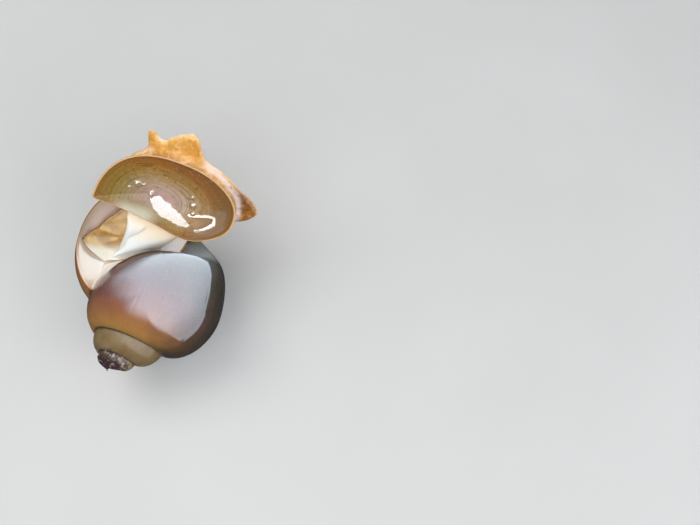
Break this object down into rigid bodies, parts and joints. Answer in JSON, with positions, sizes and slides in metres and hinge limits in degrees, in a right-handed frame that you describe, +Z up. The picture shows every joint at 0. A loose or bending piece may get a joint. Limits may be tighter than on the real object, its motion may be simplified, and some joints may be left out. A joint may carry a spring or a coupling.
{
  "type": "apple snail",
  "caption": "Life-size apple snail lying on its back, operculum swung open and foot half out of the shell, as a still museum model.",
  "frame": {"origin": "on the floor, under the middle of the model's box", "axes": "+Z up; +Y away from the side the picture was taken from; +X to the right as seen from there"},
  "size_m": [0.0506, 0.0644, 0.0542],
  "materials": {
    "shell": "wet satin horny skin over a purple-brown shell, olive-tan spire, worn tip",
    "operculum": "wet, finely ringed, olive brown with a pale tan rim",
    "foot_flesh": "wet, crumpled, ochre orange",
    "pale_flesh": "wet, smooth, cream white",
    "mantle": "wet, soft, ochre brown",
    "eye": "wet black"
  },
  "bodies": {
    "root": {"shell": "shell", "operculum": "operculum", "neck": "pale_flesh", "foot_rear": "foot_flesh", "foot_front": "foot_flesh", "head": "foot_flesh", "labial_palp_L": "foot_flesh", "labial_palp_R": "foot_flesh", "tentacle_L": "foot_flesh", "tentacle_R": "foot_flesh", "eye_stalk_L": "foot_flesh", "eye_stalk_R": "foot_flesh", "mantle_edge": "mantle", "eye_L": "eye", "eye_R": "eye"}
  },
  "joints": []
}
